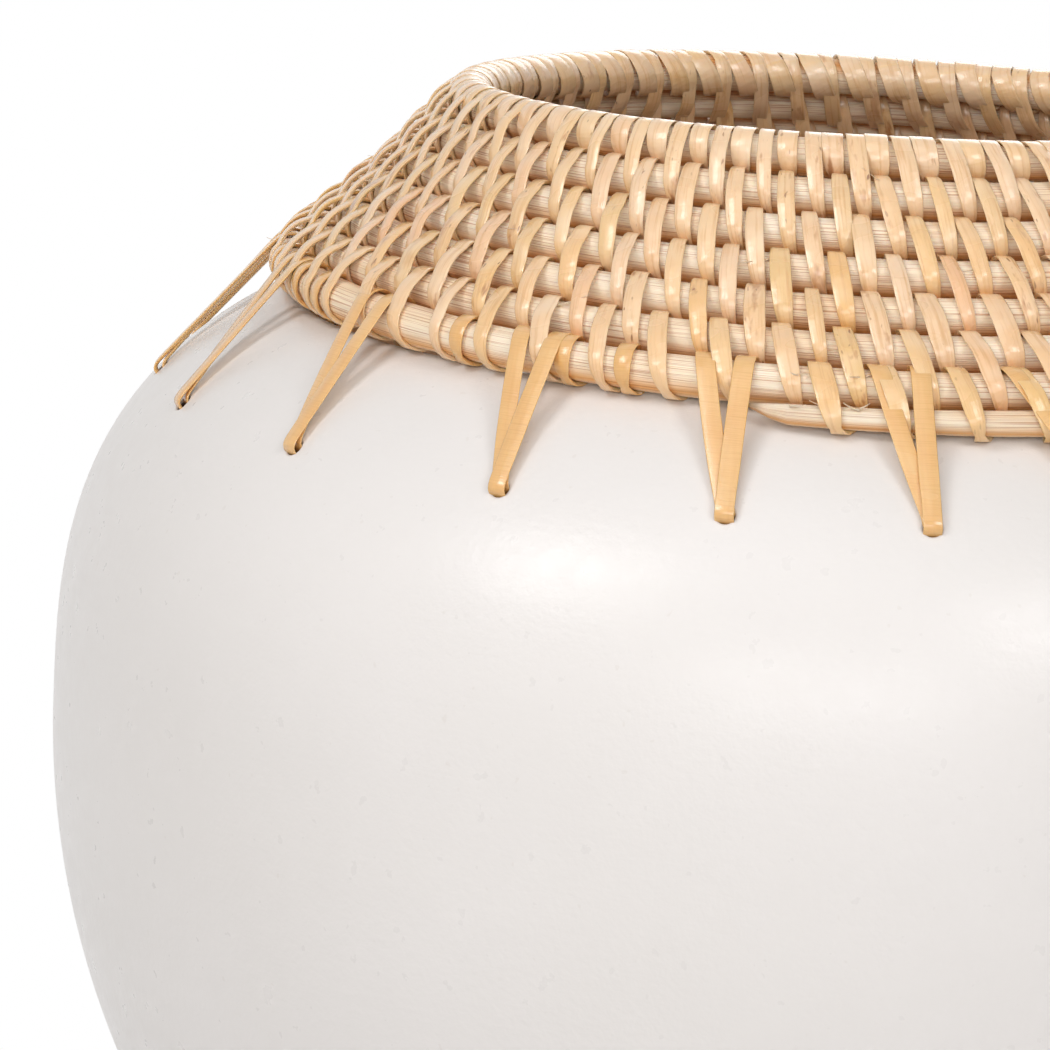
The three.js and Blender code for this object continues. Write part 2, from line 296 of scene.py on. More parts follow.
lace_angles = lace_turn(np.arange(LACE_COUNT))


class Meridian:
    """Outside of the pot from the base's edge to the lip, by length along it."""

    STEPS = 500

    def __init__(self):
        sweep = math.asin(BELLY_HEIGHT / lower_span)
        low = np.linspace(-sweep, 0, self.STEPS)
        lower = np.stack((BELLY_RADIUS * np.cos(low), BELLY_HEIGHT + lower_span * np.sin(low)), 1)
        lip_sweep = math.acos((LIP_RADIUS / BELLY_RADIUS) ** (SHOULDER_FULLNESS / 2))
        high = lip_sweep * np.linspace(0, 1, self.STEPS)[1:] ** (SHOULDER_FULLNESS / 2)
        power = 2 / SHOULDER_FULLNESS
        upper = np.stack((
            BELLY_RADIUS * np.cos(high) ** power,
            BELLY_HEIGHT + SHOULDER_RISE * np.sin(high) ** power,
        ), 1)
        self.points = np.concatenate((lower, upper))
        self.run = run_along(self.points)
        tangent = np.gradient(self.points, self.run, axis=0)
        self.normals = np.stack((tangent[:, 1], -tangent[:, 0]), 1)
        self.normals /= np.linalg.norm(self.normals, axis=1)[:, None]
        self.length = self.run[-1]
        nearest = np.linalg.norm(self.points - hole_point, axis=1).argmin()
        self.hole = self.run[nearest]

    def at(self, run, depth):
        """Radius and height at a length along and a depth below the outside."""
        point = [np.interp(run, self.run, self.points[:, k]) for k in (0, 1)]
        normal = [np.interp(run, self.run, self.normals[:, k]) for k in (0, 1)]
        return point[0] - depth * normal[0], point[1] - depth * normal[1]


def pot_rows(line):
    """Radius and height of the pot mesh's rows, from the base up, over the lip and down inside.

    Also the first row of the holes' windows outside and inside, and the first row inside."""
    window = line.hole + WINDOW_CELL * np.arange(-WINDOW_REACH, WINDOW_REACH + 1)
    runs = np.concatenate((
        np.linspace(OUTSIDE_START, window[0], ROWS_BELOW_HOLES)[:-1], window,
        np.linspace(window[-1], line.length, ROWS_ABOVE_HOLES)[1:],
    ))
    foot = np.array(FOOT_EDGE) + (BASE_RADIUS, 0.0)
    outer = np.stack(line.at(runs, 0.0), 1)
    turn = np.arctan2(lip_normal[1], lip_normal[0]) + np.linspace(0, math.pi, LIP_ROWS)[1:-1]
    lip = lip_centre + POT_WALL / 2 * np.stack((np.cos(turn), np.sin(turn)), 1)
    inner = np.stack(line.at(runs[::-1], POT_WALL), 1)
    inner = inner[inner[:, 1] > POT_FLOOR + INSIDE_START]
    floor = np.array(FLOOR_EDGE) + (inner[-1, 0], POT_FLOOR)
    below = ROWS_BELOW_HOLES - 1
    first_inside = len(foot) + len(outer) + len(lip)
    first_inner = first_inside + len(runs) - 1 - (below + 2 * WINDOW_REACH)
    return np.concatenate((foot, outer, lip, inner, floor)), len(foot) + below, first_inner, first_inside


def window_border():
    """Border of a hole's window, in cells from its centre, anticlockwise."""
    side = np.arange(-WINDOW_REACH, WINDOW_REACH)
    border = [(a, -WINDOW_REACH) for a in side] + [(WINDOW_REACH, a) for a in side]
    border += [(-a, WINDOW_REACH) for a in side] + [(-WINDOW_REACH, -a) for a in side]
    return np.array(border)


def hole_rings():
    """Rings through a hole: share of the way from the window's border, radius and depth of each."""
    rounds = [
        (HOLE_RADIUS + HOLE_ROUNDING * (1 - math.sin(a)), HOLE_ROUNDING * (1 - math.cos(a)))
        for a in np.linspace(0, math.pi / 2, ROUNDING_RINGS)
    ]
    half = [(share, rounds[0][0], 0.0) for share in WINDOW_RINGS]
    half += [(1.0, r, d) for r, d in rounds] + [(1.0, HOLE_RADIUS, BORE_RING_DEPTH)]
    return half + [(share, r, POT_WALL - d) for share, r, d in half[::-1]]


class PotMesh:
    """The pot as one skin with round-edged holes.

    Each point has two marks: how far into a hole's bore it is, which carries the painted shade there, and
    whether its clay is bare."""

    def __init__(self):
        self.line = Meridian()
        self.rows, self.first_outer, self.first_inner, first_inside = pot_rows(self.line)
        self.points, self.faces = self.row_points(), []
        self.near = [0.0] * len(self.points)
        self.bare = list(np.repeat((np.arange(len(self.rows)) >= first_inside).astype(float), COLUMNS))
        self.add_row_faces()
        for hole in range(LACE_COUNT):
            self.add_hole(hole)

    def row_points(self):
        angles = lace_turn(np.arange(COLUMNS) * LACE_COUNT / COLUMNS)
        sag = sum(depth * np.sin(waves * angles + phase) for depth, waves, phase in SAGS)
        height = self.rows[:, 1]
        fade = np.clip((SAG_TOP - height) / SAG_TOP_FADE, 0, 1) * np.clip(height / SAG_BASE_FADE, 0, 1)
        radius = self.rows[:, :1] + fade[:, None] * sag
        heights = np.repeat(self.rows[:, 1:], COLUMNS, 1)
        return list(around(radius, heights, angles[None]).reshape(-1, 3))

    def add_row_faces(self):
        """Faces between the rows, but for the holes' windows, and the caps at both ends."""
        size = 2 * WINDOW_REACH
        cut = [range(first, first + size) for first in (self.first_outer, self.first_inner)]
        for i in range(len(self.rows) - 1):
            in_window = any(i in rows_cut for rows_cut in cut)
            low, high = i * COLUMNS, (i + 1) * COLUMNS
            for j in range(COLUMNS):
                if in_window and (j + WINDOW_REACH) % (COLUMNS // LACE_COUNT) < size:
                    continue
                k = (j + 1) % COLUMNS
                self.faces.append((low + j, low + k, high + k, high + j))
        self.faces.append(list(range(COLUMNS))[::-1])
        self.faces.append([(len(self.rows) - 1) * COLUMNS + j for j in range(COLUMNS)])

    def add_band(self, first, last):
        """Faces between two rings of the same number of points."""
        for a in range(len(first)):
            b = (a + 1) % len(first)
            self.faces.append((first[a], first[b], last[b], last[a]))

    def add_hole(self, hole):
        """The wall round and through a hole, from the window outside to the window inside."""
        border = window_border()
        spoke = border / np.linalg.norm(border, axis=1)[:, None]
        middle = hole * COLUMNS // LACE_COUNT
        columns = [(middle + u) % COLUMNS for u in border[:, 0]]
        outside = [(self.first_outer + WINDOW_REACH + v) * COLUMNS + c for c, v in zip(columns, border[:, 1])]
        inside = [(self.first_inner + WINDOW_REACH - v) * COLUMNS + c for c, v in zip(columns, border[:, 1])]
        offset = lace_turn(hole + border[:, 0] * LACE_COUNT / COLUMNS) - lace_angles[hole]
        window = np.stack((offset * hole_point[0], border[:, 1] * WINDOW_CELL), 1)
        before = outside
        for share, r, depth in hole_rings():
            place = (1 - share) * window + share * r * spoke
            x, z = self.line.at(self.line.hole + place[:, 1], depth)
            ring = list(range(len(self.points), len(self.points) + len(border)))
            self.points += list(around(x, z, lace_angles[hole] + place[:, 0] / hole_point[0]))
            within = min(1.0, HOLE_EDGE_MARK + min(depth, POT_WALL - depth))
            self.near += [float(share == 1.0) * within] * len(border)
            self.bare += [float(depth > POT_WALL / 2)] * len(border)
            self.add_band(before, ring)
            before = ring
        self.add_band(before, inside)


# Centre line of the collar's core
collar_length = ROW_PITCH * COIL_TURNS
flare_radius = collar_length / (TOP_SLOPE - FOOT_SLOPE)
coil_sweep = TURN * COIL_TURNS


def collar_slope(length):
    return TOP_SLOPE - length / flare_radius


def core_section(wound):
    """The core by the angle wound from its start: angle, radius, centre above the foot, and slope."""
    wound = np.asarray(wound, float)
    angle = COIL_START + wound
    start, end = np.minimum(1, wound / START_TAPER), np.minimum(1, (coil_sweep - wound) / END_TAPER)
    radius = np.minimum(
        START_TIP_RADIUS + (CORE_RADIUS - START_TIP_RADIUS) * start,
        END_TIP_RADIUS + (CORE_RADIUS - END_TIP_RADIUS) * end,
    )
    thin = np.where(wound < coil_sweep / 2, -1, 1) * (CORE_RADIUS - radius)
    length = (collar_length - ROW_PITCH * wound / TURN + thin) * (1 + ROW_SWELL * np.cos(2 * angle))
    slope = collar_slope(length)
    x = LIP_RADIUS + FOOT_REACH - flare_radius * (np.sin(slope) - math.sin(FOOT_SLOPE))
    z = flare_radius * (math.cos(FOOT_SLOPE) - np.cos(slope))
    return angle, radius, np.stack((x, z), -1), slope


def lift_of_collar():
    """Height of the collar's foot: its lowest row is one clearance above the shoulder."""
    _, radius, centre, _ = core_section(np.linspace(0, coil_sweep, LIFT_STEPS))
    lifts = []
    for r, (x, z) in zip(radius, centre):
        if x >= LIP_RADIUS:
            height = shoulder_height(x)
            lifts.append(height + (r + CLEARANCE) / shoulder_normal(x, height)[1] - z)
    return max(lifts)


collar_lift = lift_of_collar()


def core_at(wound):
    """Angle, full radius and centre of the core in its place on the pot."""
    angle, radius, centre, _ = core_section(wound)
    return angle, radius * CORE_FULLNESS, centre + np.array((0.0, collar_lift))


def core_rings():
    """Rings of the core as one unbroken coil, a little uneven as peeled rattan is, its tips tucked in."""
    wound = np.linspace(-CORE_TIP_AHEAD, coil_sweep, int(COIL_TURNS * CORE_STEPS_PER_TURN) + 1)
    angle, radius, centre = core_at(wound)
    waver = sum(depth * np.sin(wound * waves + phase) for depth, waves, phase in CORE_WAVERS)
    to_end = np.minimum(wound + CORE_TIP_AHEAD, coil_sweep - wound) * centre[:, 0]
    thinned = radius * np.clip(CORE_TIP_SHARE + to_end / CORE_TIP_LENGTH, 0, 1)
    slope = core_section(wound)[3]
    tuck = np.where(wound < coil_sweep / 2, 1, -1) * (radius - thinned)
    centre = centre + tuck[:, None] * np.stack((-np.cos(slope), np.sin(slope)), 1)
    turn = math.pi + TURN * np.arange(CORE_SIDES) / CORE_SIDES
    lobes = 1 + CORE_LOBE * np.sin(CORE_LOBES * turn[None] + wound[:, None] * CORE_LOBE_TWIST)
    reach = (thinned + waver * thinned / CORE_RADIUS)[:, None] * lobes
    x = centre[:, :1] + reach * np.cos(turn)
    z = centre[:, 1:] + reach * np.sin(turn)
    return np.stack((x * np.sin(angle)[:, None], -x * np.cos(angle)[:, None], z), -1)


def crowned_rings(path, wide, out, width, thickness):
    """Rings of a crowned cane strip, its section turned to the directions across it and out of it."""
    w = CROWNED[:, 0][None, :, None] * np.asarray(width).reshape(-1, 1, 1)
    t = CROWNED[:, 1][None, :, None] * np.asarray(thickness).reshape(-1, 1, 1)
    return path[:, None] + w * wide[:, None] + t * out[:, None]


def strip_rings(path, across, width, thickness):
    """Rings of a strip along an open path of points, its flat side towards the inside."""
    along = np.gradient(path, axis=0)
    along /= np.linalg.norm(along, axis=1)[:, None]
    wide = across - (across * along).sum(1)[:, None] * along
    wide /= np.linalg.norm(wide, axis=1)[:, None]
    return crowned_rings(path, wide, np.cross(wide, along), width, thickness)


def arc(centre, radius, first, last, count):
    """Points on a circle of the meridian plane from one direction to another, the short way."""
    start = math.atan2(first[1], first[0])
    sweep = math.atan2(first[0] * last[1] - first[1] * last[0], first[0] * last[0] + first[1] * last[1])
    turn = start + sweep * np.linspace(0, 1, count)
    return centre + radius * np.stack((np.cos(turn), np.sin(turn)), 1)


def loop_over(upper, upper_radius, lower, lower_radius, bow):
    """Taut loop over two rows, in the meridian plane: down the outside, and up the inside.

    Both runs stand off by bow in the middle of their bridge from row to row."""
    apart = lower - upper
    distance = np.linalg.norm(apart)
    down = apart / distance
    side = np.array((-down[1], down[0]))
    lean = (upper_radius - lower_radius) / distance
    reach = math.sqrt(1 - lean ** 2)
    outward = lean * down + reach * side
    inward = lean * down - reach * side
    share = np.linspace(0, 1, BRIDGE_STEPS)[1:-1, None]

    def bridge(normal, stand):
        a, b = upper + upper_radius * normal, lower + lower_radius * normal
        return a + (b - a) * share + stand * np.sin(math.pi * share) * normal

    outside = np.concatenate((
        arc(upper, upper_radius, -down, outward, OUTSIDE_ARC_STEPS), bridge(outward, bow),
        arc(lower, lower_radius, outward, down, OUTSIDE_ARC_STEPS),
    ))
    inside = np.concatenate((
        arc(lower, lower_radius, down, inward, INSIDE_ARC_STEPS)[1:], bridge(inward, bow)[::-1],
        arc(upper, upper_radius, inward, -down, INSIDE_ARC_STEPS)[:-1],
    ))
    return outside, inside


def loop_round(centre, radius, down):
    """Loop round one row: down the outside and up the inside, from the side away from the row below."""
    side = np.array((-down[1], down[0]))
    outside = np.concatenate((
        arc(centre, radius, -down, side, OUTSIDE_ARC_STEPS),
        arc(centre, radius, side, down, OUTSIDE_ARC_STEPS)[1:],
    ))
    inside = np.concatenate((
        arc(centre, radius, down, -side, INSIDE_ARC_STEPS)[1:],
        arc(centre, radius, -side, -down, INSIDE_ARC_STEPS)[1:-1],
    ))
    return outside, inside


def wind(loops):
    """Rings of one strip through many loops, and the marks of each ring's points.

    A loop is its angle, outside run, inside run, lean, width, pinch at the top, and marks.
    The strip leans by its lean on the way down outside, and comes up inside to where the next loop starts."""
    path, across, width, marks = [], [], [], []
    for number, (angle, outside, inside, lean, wide, top_pinch, *mark) in enumerate(loops):
        share = shares(outside)
        run_out = (share - 0.5) * lean
        top = outside[0, 0]
        if number + 1 < len(loops):
            following, next_lean = loops[number + 1][0], loops[number + 1][3]
            landing = (following - angle) * top - next_lean / 2
        else:
            landing = lean
        share_in = shares(np.concatenate((outside[-1:], inside, outside[:1])))[1:-1]
        run_in = lean / 2 + (landing - lean / 2) * share_in
        pinch_out = np.where(share < 0.5, top_pinch, STITCH_PINCH) * np.abs(2 * share - 1) ** 3
        pinch_in = np.where(share_in > 0.5, top_pinch, STITCH_PINCH) * np.abs(2 * share_in - 1) ** 3
        pinch = np.concatenate((pinch_out, pinch_in))
        flat = np.concatenate((outside, inside))
        turned = angle + np.concatenate((run_out, run_in)) / top
        path.append(around(flat[:, 0], flat[:, 1], turned))
        across.append(sideways(turned))
        width.append(wide * (1 - pinch))
        marks.append(np.tile(mark, (len(flat), 1)))
    path, across, width = np.concatenate(path), np.concatenate(across), np.concatenate(width)
    rings = strip_rings(path, across, width, STITCH_THICKNESS)
    return rings, np.repeat(np.concatenate(marks), len(CROWNED), 0)


def binding_radius(radius):
    return radius + STITCH_GAP + STITCH_THICKNESS / 2


def stitch_marks(wound):
    """Tint, height share and stain of one stitch."""
    return rng.uniform(), wound / coil_sweep, rng.uniform()


def stitch_loops():
    """Long stitches: each binds a row to the row below, all the way up the collar."""
    loops = []
    numbers = np.arange(int((coil_sweep - TURN - 2 * FIRST_STITCH) / STITCH_SPACING))
    scatter = rng.normal(0, STITCH_SCATTER, len(numbers))
    places = TURN + FIRST_STITCH + (numbers + scatter) * STITCH_SPACING
    for wound in (*places, *(coil_sweep - end for end in CLOSING_STITCHES)):
        angle, upper_radius, upper = core_at(wound)
        _, lower_radius, lower = core_at(wound - TURN)
        bow = rng.uniform(*STITCH_BOW)
        upper_radius, lower_radius = binding_radius(upper_radius), binding_radius(lower_radius)
        outside, inside = loop_over(upper, upper_radius, lower, lower_radius, bow)
        tight = np.clip(upper[0] / EVEN_STITCH_RADIUS, *STITCH_LEAN_RANGE)
        lean = STITCH_LEAN * tight * rng.normal(1, STITCH_LEAN_SCATTER) if wound in places else 0.0
        width = STITCH_WIDTH * np.clip(tight, *STITCH_WIDTH_RANGE) * rng.normal(1, STITCH_WIDTH_SCATTER)
        top_pinch = 0.0 if wound > coil_sweep - TURN else STITCH_PINCH
        loops.append((angle, outside, inside, lean, width, top_pinch, *stitch_marks(wound)))
    return loops


def rim_loops():
    """Short wraps round the top row, one between each two stitches."""
    loops = []
    start = coil_sweep - (TURN + RIM_WRAP_SPAN) / 2
    first = math.ceil((start - TURN - FIRST_STITCH) / STITCH_SPACING)
    for number in range(int(RIM_WRAP_SPAN / STITCH_SPACING)):
        place = first + number + RIM_WRAP_PLACE + rng.normal(0, RIM_PLACE_SCATTER)
        wound = TURN + FIRST_STITCH + place * STITCH_SPACING
        angle, radius, centre = core_at(wound)
        _, _, below = core_at(wound - TURN)
        down = (below - centre) / np.linalg.norm(below - centre)
        outside, inside = loop_round(centre, binding_radius(radius) + rng.uniform(0, RIM_SLACK), down)
        lean = RIM_WRAP_LEAN * rng.normal(1, WRAP_LEAN_SCATTER)
        width = RIM_WRAP_WIDTH * rng.normal(1, RIM_WIDTH_SCATTER)
        loops.append((angle, outside, inside, lean, width, 0.0, *stitch_marks(wound)))
    return loops


def circle(centre, radius):
    """Points all round a circle of the meridian plane."""
    turn = np.linspace(0, TURN, GUIDE_STEPS, endpoint=False)
    return centre + radius * np.stack((np.cos(turn), np.sin(turn)), 1)


def taut(points):
    """Convex outline of points in the meridian plane, anticlockwise."""
    ordered = sorted(map(tuple, points))

    def half(sequence):
        chain = []
        for p in sequence:
            while len(chain) > 1:
                a, b = chain[-2], chain[-1]
                if (b[0] - a[0]) * (p[1] - a[1]) - (b[1] - a[1]) * (p[0] - a[0]) > 1e-6:
                    break
                chain.pop()
            chain.append(p)
        return chain[:-1]

    return np.array(half(ordered) + half(ordered[::-1]))


def bound_rows(angle):
    """Rows that a lace binds: the last full row, with the tapered start below it."""
    wound = (angle - COIL_START) % TURN
    rows = [core_at(wound)]
    if wound < START_TAPER:
        rows.append(core_at(wound + TURN))
    return rows


def lace_pass(angle, over):
    """One pass in the meridian plane, in two runs: from the groove down to the hole, and back up inside."""
    half = LACE_THICKNESS / 2
    along = -half - LACE_REST - LACE_DIP if over else half + LACE_REST
    stand = LACE_REST + half + (LACE_THICKNESS + LACE_REST if over else 0)
    outside = hole_point + stand * hole_normal + along * up_shoulder
    inside = hole_point - (POT_WALL + stand) * hole_normal + along * up_shoulder
    rows = bound_rows(angle)
    guides = [circle(centre, radius + LACE_LIFT) for _, radius, centre in rows]
    guides += [circle(lip_centre, POT_WALL / 2 + LACE_REST + half), outside[None], inside[None]]
    loop = taut(np.concatenate(guides))
    start = np.linalg.norm(loop - outside, axis=1).argmin()
    upwards = np.roll(loop, -start, axis=0)
    centre = rows[-1][2]
    slope = core_section(rows[-1][0] - COIL_START)[3]
    height = (upwards[:, 1] - centre[1]) * math.sin(slope) - (upwards[:, 0] - centre[0]) * math.cos(slope)
    peak = height.argmax()
    return upwards[:peak + 1][::-1], upwards[peak + 1:][::-1]


def even_steps(points, step):
    """A closed path with points at even steps, its corners eased."""
    closed = np.concatenate((points, points[:1]))
    run = run_along(closed)
    places = np.linspace(0, run[-1], int(run[-1] / step), endpoint=False)
    path = np.stack([np.interp(places, run, closed[:, k]) for k in range(closed.shape[1])], 1)
    for _ in range(LACE_EASING):
        path = (np.roll(path, 1, 0) + 2 * path + np.roll(path, -1, 0)) / 4
    return path


# Turns an angle at the lip into a length, in a path of radius, height and angle
ANGLE_AS_LENGTH = np.array((1.0, 1.0, LIP_RADIUS))


def lace_rings(angle):
    """Both passes of a lace joined into one closed strip."""
    flat = []
    for side in (-1, 1):
        for inside in (0, 1):
            aside = (LACE_LEAN + (-side if inside else side) * LACE_HALF_SPREAD) / LIP_RADIUS
            run = lace_pass(angle + aside, side > 0)[inside]
            share = shares(run) if inside else 1 - shares(run)
            flat.append(np.column_stack((run, angle + aside * share)))
    path = even_steps(np.concatenate(flat) * ANGLE_AS_LENGTH, LACE_STEP) / ANGLE_AS_LENGTH
    place = around(path[:, 0], path[:, 1], path[:, 2])
    across = sideways(path[:, 2])
    along = np.roll(place, -1, 0) - np.roll(place, 1, 0)
    along /= np.linalg.norm(along, axis=1)[:, None]
    out = np.cross(across, along)
    out /= np.linalg.norm(out, axis=1)[:, None]
    from_hole = np.linalg.norm(path[:, :2] - hole_point, axis=1)
    widening = (1 - LACE_HOLE_SHARE) * np.clip(from_hole / LACE_NARROWING, 0, 1)
    width = LACE_WIDTH * (LACE_HOLE_SHARE + widening) * rng.normal(1, LACE_WIDTH_SCATTER)
    return crowned_rings(place, across, out, width, LACE_THICKNESS)


def tail_rings():
    """The lacing strip's last run: from the groove, slanting down to a lace's hole and into it."""
    angle, aside = lace_angles[TAIL_LACE], -TAIL_ASIDE / LIP_RADIUS
    run = lace_pass(angle + aside, True)[0]
    run = np.concatenate((run, [hole_point - POT_WALL / 2 * hole_normal]))
    flat = np.column_stack((run, angle + aside * (1 - shares(run))))
    places, known = np.linspace(0, 1, TAIL_STEPS), shares(flat * ANGLE_AS_LENGTH)
    x, z, turned = (np.interp(places, known, flat[:, k]) for k in range(3))
    return strip_rings(around(x, z, turned), sideways(turned), TAIL_WIDTH, LACE_THICKNESS)


def foot_loops():
    """Wraps of the lacing strip round the foot row, each in the nearest gap between two stitches."""
    loops = []
    places = [lace_turn(number + share) for number in range(LACE_COUNT) for share in FOOT_WRAPS[number % 2]]
    for angle in places:
        wanted = (angle - COIL_START) % TURN
        if wanted < START_TAPER:
            continue
        gap = round((wanted - FIRST_STITCH) / STITCH_SPACING - 0.5) + 0.5
        wound = FIRST_STITCH + gap * STITCH_SPACING + STITCH_LEAN / 4 / LIP_RADIUS
        turned, radius, centre = core_at(wound)
        _, _, above = core_at(wound + TURN)
        down = (centre - above) / np.linalg.norm(centre - above)
        outside, inside = loop_round(centre, binding_radius(radius), down)
        lean = rng.normal(FOOT_WRAP_LEAN, WRAP_LEAN_SCATTER)
        loops.append((turned, outside, inside, lean, FOOT_WRAP_WIDTH, STITCH_PINCH, *stitch_marks(wound)))
    return loops


def fibre_rings(number):
    """A frayed fibre that lifts off a row, bends down or up across it and thins out.

    The first ones are at the coil's start."""
    if number < START_FIBRES:
        wound = rng.uniform(*START_FIBRE_PLACE) + TURN * (number % 2)
        length, thickest = rng.uniform(*START_FIBRE_LENGTH), rng.uniform(*START_FIBRE_THICKNESS)
    else:
        wound = rng.uniform(START_TAPER, coil_sweep - TURN)
        length, thickest = rng.uniform(*FIBRE_LENGTH), rng.uniform(*FIBRE_THICKNESS)
    angle, radius, centre = core_at(wound)
    slope = core_section(wound)[3]
    share = np.linspace(0, 1, FIBRE_STEPS)
    down = np.array((math.cos(slope), -math.sin(slope))) * length * rng.uniform(*FIBRE_SLANT)
    out = np.array((math.sin(slope), math.cos(slope)))
    lift = radius + FIBRE_STAND + rng.uniform(*FIBRE_LIFT) * share ** 2
    flat = centre + share[:, None] * down + lift[:, None] * out
    turned = angle + rng.choice((-1, 1)) * length * share / centre[0]
    path = around(flat[:, 0], flat[:, 1], turned)
    thick = thickest * (1 - FIBRE_TAPER * share)
    return strip_rings(path, np.tile((0.0, 0.0, 1.0), (len(path), 1)), thick, thick)


class Nodes:
    """A material's node tree, with a short way to add and link its nodes."""

    def __init__(self, name):
        self.material = bpy.data.materials.new(name)
        self.material.use_nodes = True
        self.tree = self.material.node_tree
        self.shader = self.tree.nodes["Principled BSDF"]

    def add(self, kind, inputs=None, **settings):
        made = self.tree.nodes.new(kind)
        for key, value in settings.items():
            setattr(made, key, value)
        for key, value in (inputs or {}).items():
            self.set(made.inputs[key], value)
        return made

    def set(self, socket, value):
        if isinstance(value, bpy.types.NodeSocket):
            self.tree.links.new(value, socket)
        else:
            socket.default_value = value

    def finish(self, **inputs):
        for key, value in inputs.items():
            self.set(self.shader.inputs[key.replace("_", " ")], value)
        return self.material

    def uv(self):
        return self.add("ShaderNodeUVMap", uv_map="UVMap").outputs[0]

    def attribute(self, name, output="Fac"):
        return self.add("ShaderNodeAttribute", attribute_name=name).outputs[output]

    def parts(self, vector):
        return self.add("ShaderNodeSeparateXYZ", {0: vector}).outputs

    def grain(self, place, along, across, detail):
        """Noise drawn out along a strip: its features in a millimetre along and over the way round."""
        return self.noise(self.scaled(place, (along, across, 1.0)), 1.0, detail)

    def edges(self, across, shade, first, inner_first, inner_last, last):
        """White in the middle of a strip's outside, and a painted shade colour at its two edges."""
        return self.ramp(across, (first, shade), (inner_first, WHITE), (inner_last, WHITE), (last, shade))

    def scaled(self, vector, factors):
        return self.add("ShaderNodeMapping", {"Vector": vector, "Scale": factors}).outputs[0]

    def noise(self, vector, scale, detail=3.0, roughness=0.55):
        inputs = {"Vector": vector, "Scale": scale, "Detail": detail, "Roughness": roughness}
        return self.add("ShaderNodeTexNoise", inputs).outputs["Fac"]

    def ramp(self, value, *stops):
        """Value through colour stops of (place, linear colour)."""
        made = self.add("ShaderNodeValToRGB", {"Fac": value})
        elements = made.color_ramp.elements
        while len(elements) < len(stops):
            elements.new(0.5)
        for element, (place, colour) in zip(elements, stops):
            element.position = place
            element.color = (*colour, 1.0)
        return made.outputs["Color"]

    def fade(self, value, low, high, first=0.0, last=1.0):
        inputs = {"Value": value, "From Min": low, "From Max": high, "To Min": first, "To Max": last}
        return self.add("ShaderNodeMapRange", inputs).outputs[0]

    def mix(self, share, a, b, blend="MIX"):
        made = self.add("ShaderNodeMix", data_type="RGBA", blend_type=blend)
        self.set(made.inputs[0], share)
        self.set(made.inputs[6], a if isinstance(a, bpy.types.NodeSocket) else (*a, 1.0))
        self.set(made.inputs[7], b if isinstance(b, bpy.types.NodeSocket) else (*b, 1.0))
        return made.outputs[2]

    def times(self, a, b):
        made = self.add("ShaderNodeMath", operation="MULTIPLY")
        self.set(made.inputs[0], a)
        self.set(made.inputs[1], b)
        return made.outputs[0]

    def plus(self, a, b):
        made = self.add("ShaderNodeMath", operation="ADD")
        self.set(made.inputs[0], a)
        self.set(made.inputs[1], b)
        return made.outputs[0]

    def bump(self, height, strength, distance):
        inputs = {"Height": height, "Strength": strength, "Distance": distance}
        return self.add("ShaderNodeBump", inputs).outputs[0]


def srgb(red, green, blue):
    """Linear colour of display values from 0 to 255."""
    values = np.array((red, green, blue)) / 255
    return tuple(np.where(values <= 0.04045, values / 12.92, ((values + 0.055) / 1.055) ** 2.4).tolist())


WHITE = srgb(255, 255, 255)

# Light goes a little way into cane and rattan, and comes out warmer
WAXY = {"Subsurface_Weight": 0.18, "Subsurface_Radius": (1.0, 0.65, 0.35), "Subsurface_Scale": 0.0012}


def paint_material():
    """Satin white paint with faint mottling, brush grain and specks; bare clay inside, and painted shade dark
    down the holes.
    """
    n = Nodes("painted_clay")
    place = n.add("ShaderNodeTexCoord").outputs["Object"]
    mottle = n.noise(place, 9.0, 4.0)
    colour = n.ramp(mottle, (0.3, srgb(226, 221, 217)), (0.7, srgb(231, 226, 223)))
    specks = n.fade(n.noise(place, 700.0, 0.0), 0.83, 0.87)
    colour = n.mix(n.times(specks, 0.12), colour, srgb(196, 184, 170))
    bare = n.attribute("bare_clay")
    clay = n.ramp(n.noise(place, 24.0, 5.0), (0.3, srgb(226, 192, 158)), (0.7, srgb(238, 210, 180)))
    colour = n.mix(bare, colour, clay)
    # Painted shade: the bores of the lacing holes are painted dark brown, fading to a faint darkening at
    # their outer rim
    colour = n.mix(n.fade(n.attribute("near_hole"), 0.3, 0.9), colour, srgb(74, 56, 42))
    brushed = n.noise(n.scaled(place, (60.0, 60.0, 420.0)), 1.0, 3.0)
    peel = n.noise(place, 620.0, 2.0)
    grain = n.plus(n.times(brushed, 0.3), n.times(peel, 0.7))
    satin = n.fade(n.noise(place, 260.0, 3.0), 0.3, 0.7, 0.27, 0.38)
    roughness = n.plus(satin, n.times(bare, 0.4))
    return n.finish(
        Base_Color=colour, Roughness=roughness, Normal=n.bump(grain, 0.2, 0.0006), Specular_IOR_Level=0.4,
    )


